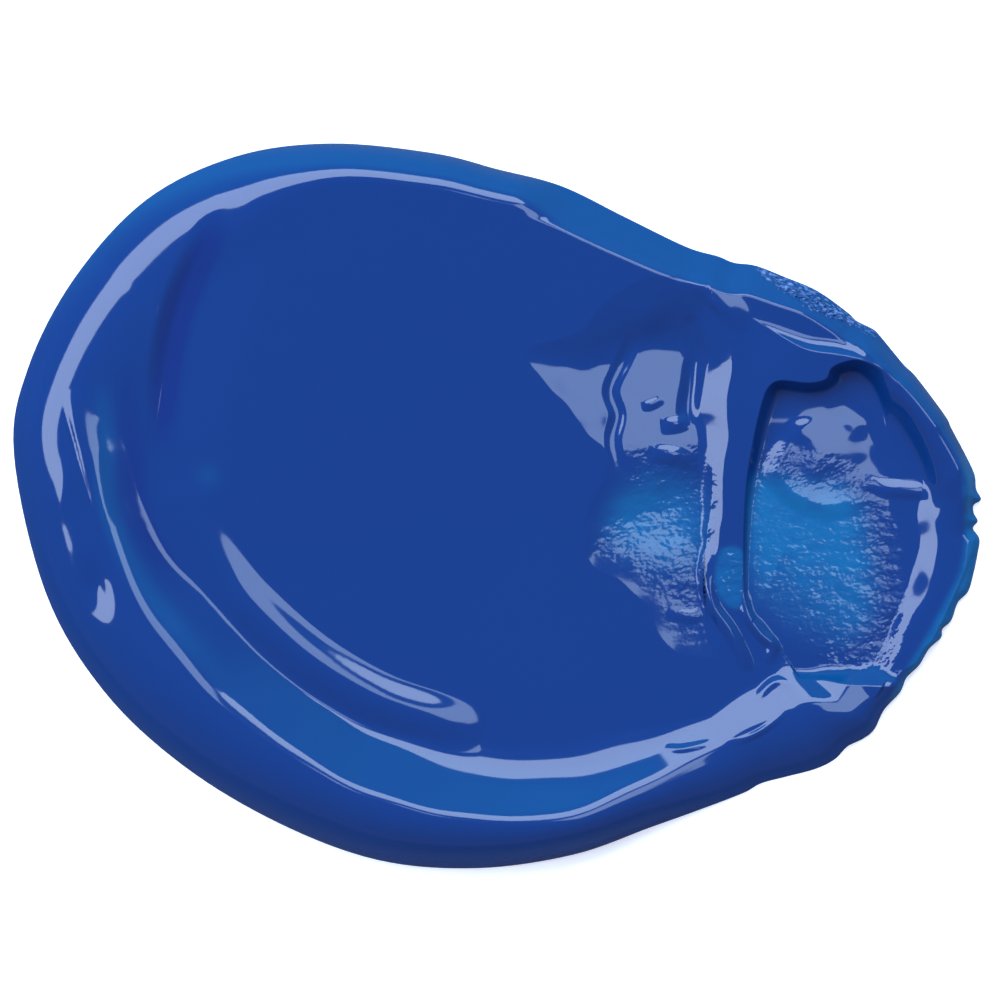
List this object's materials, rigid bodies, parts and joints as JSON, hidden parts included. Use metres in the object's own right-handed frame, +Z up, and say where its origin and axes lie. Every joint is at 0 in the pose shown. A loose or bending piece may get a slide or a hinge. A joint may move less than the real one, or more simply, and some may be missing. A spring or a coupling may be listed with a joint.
{
  "type": "paint dab",
  "caption": "Dab of thick blue artist's paint on a flat underside: a dished pool in a rolled rim, two films scraped thin by a knife, ridges, a fold and a torn fringe.",
  "frame": {"origin": "on the flat underside, at the middle of the dab's length and width", "axes": "+X along the knife's pulls, from the pool towards the lift-off ridge; +Z up from the ground"},
  "size_m": [0.0603, 0.0453, 0.0036],
  "materials": {
    "thick_paint": "wet gloss, opaque ultramarine blue",
    "thin_paint": "scraped thin, grainy, brighter blue where the ground shows through",
    "dry_paint": "dragged and broken, rough"
  },
  "bodies": {
    "root": {"cross_ridge": "thick_paint", "crust": "dry_paint", "end_ridge": "thick_paint", "first_pull_film": "thin_paint", "fold": "thick_paint", "fringe": "thin_paint", "pool": "thick_paint", "pool_step": "thick_paint", "rim": "thick_paint", "second_pull_film": "thin_paint", "tail": "thick_paint"}
  },
  "joints": []
}
